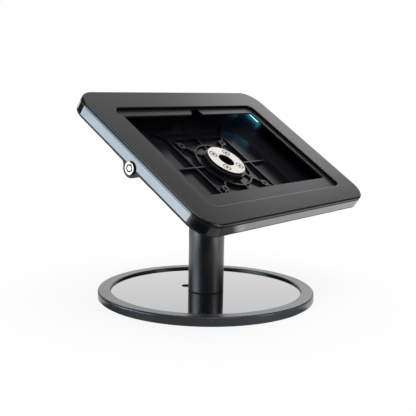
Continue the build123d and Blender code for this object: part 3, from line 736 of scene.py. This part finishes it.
class StandSizes(bpy.types.PropertyGroup):
    """Sizes of the pieces that are made here."""

    pad_inner_x: length_property(
        "Pad inner x", "Inside face of a pad's upright leg", 138.0 * MM
    )
    pad_inner_y: length_property("Pad inner y", "Inside face of a pad's flat leg", 87.0 * MM)
    pad_thickness: length_property("Pad thickness", "Thickness of a pad's legs", 8.8 * MM)
    pad_leg: length_property("Pad leg", "Length of a pad's legs", 29.6 * MM)
    pad_top: length_property("Pad top", "How far behind the front face a pad starts", 6.5 * MM)
    pad_edge: length_property("Pad edge", "Rounding of a pad's edges", 1.6 * MM)
    pin_circle: length_property(
        "Pin circle", "Radius on which the lock's pins stand", 3.35 * MM
    )
    pin_radius: length_property("Pin radius", "Radius of a lock pin", 0.42 * MM)


class StandStudio(bpy.types.PropertyGroup):
    """Camera, floor and lamps."""

    lens: bpy.props.FloatProperty(
        name="Lens", description="Focal length on a 36 mm sensor", default=70.66, unit="CAMERA"
    )
    camera_place: bpy.props.FloatVectorProperty(
        name="Camera",
        description="Where the camera stands",
        default=(-0.73411, -0.56923, 0.24313),
        subtype="TRANSLATION",
        unit="LENGTH",
    )
    camera_yaw: angle_property("Yaw", "Turn from +Y to +X", 52.27)
    camera_pitch: angle_property("Pitch", "Angle below the horizon", 8.49)
    camera_roll: angle_property("Roll", "Lean of the picture", -0.99)
    key_power: power_property("Key", "Overhead lamp", 11.0)
    side_power: power_property("Side", "Lamp at the right", 1.2)
    right_power: power_property("Right", "Soft card that shows in the satin of the front", 0.43)
    card_power: power_property("Card", "Bright card that shows in the gloss of the left wall", 2.3)
    sky_level: share_property("Sky", "Light of the backdrop and the room", 1.27, 2.0)


# Pieces


class STAND_OT_base(bpy.types.Operator):
    """Finish the rim, the plate, the polished disc, the mat and their screws"""

    bl_idname = "stand.base"
    bl_label = "Base"

    def execute(self, context):
        look = context.scene.stand_finishes
        dress(painted_rim(look), "base_rim")
        dress(mirror_inlay(look), "base_inlay")
        dress(matt_rubber("base_mat", (0.03, 0.03, 0.031), (0.05, 0.05, 0.05)), "base_mat")
        steel = plated_steel("plate_steel", (0.2, 0.2, 0.21), (0.08, 0.08, 0.085), 0.5)
        dress(steel, "base_plate")
        black = plated_steel("black_steel", (0.12, 0.12, 0.125), (0.05, 0.05, 0.055), 0.4)
        dress(black, "rim_screws", "column_bolts")
        return {"FINISHED"}


class STAND_OT_column(bpy.types.Operator):
    """Finish the column, its slug and the liner of the cable outlet"""

    bl_idname = "stand.column"
    bl_label = "Column"

    def execute(self, context):
        dress(powder_coat("column_coat", context.scene.stand_finishes), "column_tube")
        slug = plated_steel("slug_steel", (0.3, 0.3, 0.31), (0.12, 0.12, 0.13), 0.45)
        dress(slug, "column_plug")
        liner = matt_rubber("grommet", (0.02, 0.02, 0.02), (0.035, 0.035, 0.035))
        dress(liner, "cable_grommet")
        return {"FINISHED"}


class STAND_OT_turning_joint(bpy.types.Operator):
    """Finish the flange, the stop pin, the washers, the clamp disc and its screws"""

    bl_idname = "stand.turning_joint"
    bl_label = "Turning joint"

    def execute(self, context):
        look = context.scene.stand_finishes
        dress(powder_coat("flange_coat", look), "neck_flange")
        pin = plated_steel("pin_steel", (0.7, 0.7, 0.72), (0.4, 0.4, 0.42), 0.3)
        dress(pin, "stop_pin")
        washer = matt_rubber("washer", (0.1, 0.1, 0.1), (0.14, 0.14, 0.14))
        dress(washer, "rear_washer", "front_washer")
        dress(turned_disc(look), "clamp_disc")
        dress(socket_screw(look), "clamp_screws")
        return {"FINISHED"}


class STAND_OT_shell(bpy.types.Operator):
    """Finish the moulded rear shell"""

    bl_idname = "stand.shell"
    bl_label = "Rear shell"

    def execute(self, context):
        dress(shell_moulding(context.scene.stand_finishes), "rear_shell")
        return {"FINISHED"}


class STAND_OT_front(bpy.types.Operator):
    """Finish the front frame, the mask, the catch and its screws"""

    bl_idname = "stand.front"
    bl_label = "Front"

    def execute(self, context):
        look = context.scene.stand_finishes
        dress(front_moulding(look), "front_frame")
        dress(gloss_sheet(look), "window_mask")
        steel = plated_steel("catch_steel", (0.35, 0.35, 0.36), (0.16, 0.16, 0.17), 0.38)
        dress(steel, "frame_catch", "catch_screws")
        return {"FINISHED"}


class STAND_OT_lock(bpy.types.Operator):
    """Finish the lock, and make the pins that stand in its keyway"""

    bl_idname = "stand.lock"
    bl_label = "Lock"

    pin_count: bpy.props.IntProperty(
        name="Pins", description="Pins in the keyway", default=7, min=1
    )

    def make_pins(self, sizes):
        """The pins, upright below z = 0, brought to the lock's face."""
        maker = bmesh.new()
        for index in range(self.pin_count):
            turn = Matrix.Rotation(2 * pi * (index + 0.5) / self.pin_count, 4, "Z")
            made = bmesh.ops.create_cone(
                maker,
                cap_ends=True,
                segments=16,
                radius1=sizes.pin_radius,
                radius2=sizes.pin_radius,
                depth=PIN_LENGTH,
            )
            down = -PIN_LENGTH / 2 - PIN_INSET
            place = turn @ Matrix.Translation((sizes.pin_circle, 0, down))
            bmesh.ops.transform(maker, matrix=place, verts=made["verts"])
        tops = [e for e in maker.edges if all(v.co.z > -PIN_INSET - LEVEL for v in e.verts)]
        round_edges(maker, tops, PIN_TIP_ROUNDING, 3)
        to_face = Matrix.Translation((LOCK_FACE, LOCK_RISE, -LOCK_DEPTH))
        aim = Matrix.Rotation(-pi / 2, 4, "Y")
        bmesh.ops.transform(maker, matrix=CASE_MATRIX @ to_face @ aim, verts=maker.verts)
        return maker

    def execute(self, context):
        dress(lock_chrome("chrome", 0.09, 0.0), "lock_housing")
        dress(lock_chrome("core_chrome", 0.12, 1.0), "lock_core")
        cam = plated_steel("cam_steel", (0.35, 0.35, 0.34), (0.2, 0.19, 0.17), 0.35)
        dress(cam, "lock_cam", "cam_screw", "lock_clip")
        brass = plated_steel("pin_brass", (0.3, 0.26, 0.2), (0.16, 0.13, 0.09), 0.35)
        pins = self.make_pins(context.scene.stand_sizes)
        new_piece("lock_pins", pins, "lock", brass)
        return {"FINISHED"}


class STAND_OT_corner_pads(bpy.types.Operator):
    """Make the four clear pads that grip the tablet's corners"""

    bl_idname = "stand.corner_pads"
    bl_label = "Corner pads"

    def outline(self, sizes):
        """The pad seen from the front, its outer corner at the upper right."""
        inner_x, inner_y = sizes.pad_inner_x, sizes.pad_inner_y
        outer_x, outer_y = inner_x + sizes.pad_thickness, inner_y + sizes.pad_thickness
        end_x, end_y = outer_x - sizes.pad_leg, outer_y - sizes.pad_leg
        return [
            (end_x, outer_y),
            (end_x, inner_y),
            (inner_x, inner_y),
            (inner_x, end_y),
            (outer_x, end_y),
            (outer_x, outer_y),
        ]

    def make(self, sizes, floor, side_x, side_y):
        """One pad, rounded, and let down onto the shell's floor."""
        maker = bmesh.new()
        corners = [
            maker.verts.new((side_x * x, side_y * y + WINDOW_RISE, -sizes.pad_top))
            for x, y in self.outline(sizes)
        ]
        face = maker.faces.new(corners)
        grown = bmesh.ops.extrude_face_region(maker, geom=[face])
        lower = [v for v in grown["geom"] if isinstance(v, bmesh.types.BMVert)]
        bmesh.ops.translate(maker, vec=(0, 0, -PAD_DEPTH), verts=lower)

        def climb(edge):
            return abs(edge.verts[0].co.z - edge.verts[1].co.z)

        upright = [e for e in maker.edges if climb(e) > sizes.pad_edge]
        round_edges(maker, upright, PAD_CORNER, 6)
        top = -sizes.pad_top - LEVEL
        rims = [e for e in maker.edges if climb(e) < sizes.pad_edge and e.verts[0].co.z > top]
        round_edges(maker, [e for e in rims if len(e.link_faces) == 2], sizes.pad_edge, 4)
        bmesh.ops.recalc_face_normals(maker, faces=maker.faces)
        bmesh.ops.transform(maker, matrix=CASE_MATRIX, verts=maker.verts)
        for vert in maker.verts:
            depth = -(CASE_MATRIX.inverted() @ vert.co).z
            if depth > sizes.pad_top + PAD_DEPTH / 2:
                start = vert.co + CASE_NORMAL * (depth - sizes.pad_top)
                hit, _, _, distance = floor.ray_cast(start, -CASE_NORMAL)
                if hit is not None:
                    vert.co = start - CASE_NORMAL * (distance - PAD_GAP)
        return maker

    def execute(self, context):
        sizes = context.scene.stand_sizes
        silicone = clear_silicone(context.scene.stand_finishes)
        shell = nodes["rear_shell"].data
        points = [v.co for v in shell.vertices]
        floor = BVHTree.FromPolygons(points, [p.vertices for p in shell.polygons])
        for level, side_y in (("bottom", -1), ("top", 1)):
            for side, side_x in (("left", -1), ("right", 1)):
                maker = self.make(sizes, floor, side_x, side_y)
                name = f"soft_pad_{level}_{side}"
                pad = new_piece(name, maker, "enclosure", silicone)
                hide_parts(f"corner_pad_{level}_{side}")
        return {"FINISHED"}


class STAND_OT_studio(bpy.types.Operator):
    """Set the floor, the sky, the lamps and the camera"""

    bl_idname = "stand.studio"
    bl_label = "Studio"

    def mirrored_level(self, finish, x, y, distance):
        """Level of the floor for mirrored rays, which is dark on the camera's side."""
        back = (x * FLOOR_BACK[0] + y * FLOOR_BACK[1]) / distance
        behind = finish.fade(back, *CAMERA_SIDE, 1.0, 0.04)

        # From beside the stand round to the camera it is dark close by and lighter further out,
        # most of all in front of the stand
        beside = finish.fade(back, *BESIDE)
        near = finish.fade(distance, *NEAR_STAND, 0.95, 0.0)
        lift = beside * finish.fade(y, *FRONT_TO_BACK, 2.6, 0.9) + 1.0

        # Darker again well behind the stand
        ahead = x * FLOOR_AHEAD[0] + y * FLOOR_AHEAD[1]
        beyond = finish.fade(ahead, *FAR_BEHIND, 1.0, 0.15)
        level = behind * (1 - beside * near) * beyond * lift

        # A grey patch on the camera's side, which shows in the side of the base
        patch = finish.fade(x, *PATCH_LEFT) * finish.fade_out(distance, *PATCH_REACH)
        patch = patch * finish.fade(back, *PATCH_SIDE)
        return level.at_least(patch * 0.35)

    def floor_paper(self):
        """Paper under the stand's shadow, white further out, and its own level in mirrors."""
        finish = new_finish("floor_paper")
        x, y, _ = finish.parts(finish.object_place())
        distance = length(x, y)
        seen = finish.light_path("Is Camera Ray")
        glossy = finish.light_path("Is Glossy Ray")
        mirrored = glossy.at_least(finish.light_path("Is Transmission Ray"))
        paper = finish.node("ShaderNodeBsdfDiffuse", None, {"Color": (0.9, 0.9, 0.9)})
        glow = finish.emission(self.mirrored_level(finish, x, y, distance))
        further_out = finish.fade(distance, *PAPER_TO_WHITE, 0.9, 1.0)
        for_camera = finish.mix_shader(further_out, paper, finish.emission(1.0))
        for_others = finish.mix_shader(mirrored, paper, glow)
        surface = finish.mix_shader(seen, for_others, for_camera)
        finish.node("ShaderNodeOutputMaterial", None, {"Surface": surface})
        finish.owner.cycles.emission_sampling = "NONE"
        return finish.owner

    def make_floor(self):
        maker = bmesh.new()
        bmesh.ops.create_grid(maker, x_segments=8, y_segments=8, size=4.0)
        floor = new_object("studio_floor", new_mesh("studio_floor", maker, self.floor_paper()))

    def make_sky(self, studio):
        """White for the camera, and for all other rays bright ahead and low near the horizon."""
        world = bpy.data.worlds.new("studio_sky")
        bpy.context.scene.world = world
        finish = Finish(world)
        direction = finish.object_place()
        _, _, z = finish.parts(direction)
        ahead = finish.dot(direction, SKY_AHEAD)
        level = finish.ramp(ahead * 0.5 + 0.5, *SKY_STOPS) * studio.sky_level
        level = level * finish.fade(z, *HORIZON, 0.2, 1.0)
        shaded = finish.dot(direction, SKY_SHADED)
        level = level * finish.fade(shaded, *SKY_SHADE_EDGE, 1.0, 0.2)
        seen = finish.light_path("Is Camera Ray")
        sockets = {"Color": WHITE, "Strength": seen + (1 - seen) * level}
        sky = finish.node("ShaderNodeBackground", None, sockets)
        finish.node("ShaderNodeOutputWorld", None, {"Surface": sky})

    def lamp(self, name, place, aim, size, power):
        light = bpy.data.lights.new(name, "AREA")
        light.shape = "RECTANGLE"
        light.size, light.size_y = size
        light.energy = power
        lamp = new_object(name, light)
        lamp.location = place
        lamp.rotation_euler = (Vector(aim) - Vector(place)).to_track_quat("-Z", "Y").to_euler()
        lamp.visible_camera = False
        return lamp

    def make_lamps(self, studio):
        middle = (0.0, 0.0, 0.12)
        right_edge = (0.155, 0.01, 0.2)
        left_wall = (-0.156, -0.04, 0.17)
        self.lamp("overhead_lamp", (-0.3, -0.3, 1.25), middle, (1.0, 1.0), studio.key_power)
        self.lamp("side_lamp", (0.15, -0.8, 0.3), middle, (0.16, 0.6), studio.side_power)
        self.lamp("right_card", (0.7, 0.135, 0.48), right_edge, (0.35, 0.35), studio.right_power)
        card = self.lamp("wall_card", (-0.53, 0.3, 0.14), left_wall, (0.42, 0.3), studio.card_power)
        card.data.color = (0.7, 0.85, 1.0)
        card.visible_diffuse = False

    def make_camera(self, studio):
        camera = bpy.data.cameras.new("studio_camera")
        camera.lens = studio.lens
        camera.sensor_width = 36.0
        camera.clip_start, camera.clip_end = 0.01, 50.0
        seat = new_object("studio_camera", camera)
        yaw, pitch, roll = studio.camera_yaw, studio.camera_pitch, studio.camera_roll
        forward = Vector((sin(yaw) * cos(pitch), cos(yaw) * cos(pitch), -sin(pitch)))
        right = Vector((cos(yaw), -sin(yaw), 0))
        down = forward.cross(right)
        right_rolled = cos(roll) * right + sin(roll) * down
        down_rolled = -sin(roll) * right + cos(roll) * down
        axes = Matrix((right_rolled, -down_rolled, -forward)).transposed()
        seat.matrix_world = Matrix.Translation(studio.camera_place) @ axes.to_4x4()
        bpy.context.scene.camera = seat

    def execute(self, context):
        studio = context.scene.stand_studio
        self.make_floor()
        self.make_sky(studio)
        self.make_lamps(studio)
        self.make_camera(studio)
        context.scene.view_settings.view_transform = "Standard"
        return {"FINISHED"}


class STAND_PT_pieces(bpy.types.Panel):
    """Lists the stand's pieces, colours and sizes"""

    bl_idname = "STAND_PT_pieces"
    bl_label = "Tablet kiosk stand"
    bl_space_type = "VIEW_3D"
    bl_region_type = "UI"
    bl_category = "Stand"

    def draw(self, context):
        for operator in PIECES:
            self.layout.operator(operator.bl_idname)
        scene = context.scene
        for group in (scene.stand_finishes, scene.stand_sizes, scene.stand_studio):
            column = self.layout.column()
            for key in group.bl_rna.properties.keys():
                if key not in ("name", "rna_type"):
                    column.prop(group, key)


PIECES = (
    STAND_OT_base,
    STAND_OT_column,
    STAND_OT_turning_joint,
    STAND_OT_shell,
    STAND_OT_front,
    STAND_OT_lock,
    STAND_OT_corner_pads,
    STAND_OT_studio,
)
GROUPS = (StandFinishes, StandSizes, StandStudio)
CLASSES = (*GROUPS, *PIECES, STAND_PT_pieces)


def register():
    for cls in CLASSES:
        bpy.utils.register_class(cls)
    bpy.types.Scene.stand_finishes = bpy.props.PointerProperty(type=StandFinishes)
    bpy.types.Scene.stand_sizes = bpy.props.PointerProperty(type=StandSizes)
    bpy.types.Scene.stand_studio = bpy.props.PointerProperty(type=StandStudio)


def unregister():
    del bpy.types.Scene.stand_finishes
    del bpy.types.Scene.stand_sizes
    del bpy.types.Scene.stand_studio
    for cls in reversed(CLASSES):
        bpy.utils.unregister_class(cls)


def main():
    register()
    for operator in (
        bpy.ops.stand.base,
        bpy.ops.stand.column,
        bpy.ops.stand.turning_joint,
        bpy.ops.stand.shell,
        bpy.ops.stand.front,
        bpy.ops.stand.lock,
        bpy.ops.stand.corner_pads,
        bpy.ops.stand.studio,
    ):
        operator()
    bpy.context.view_layer.update()


if __name__ == "__main__":
    main()
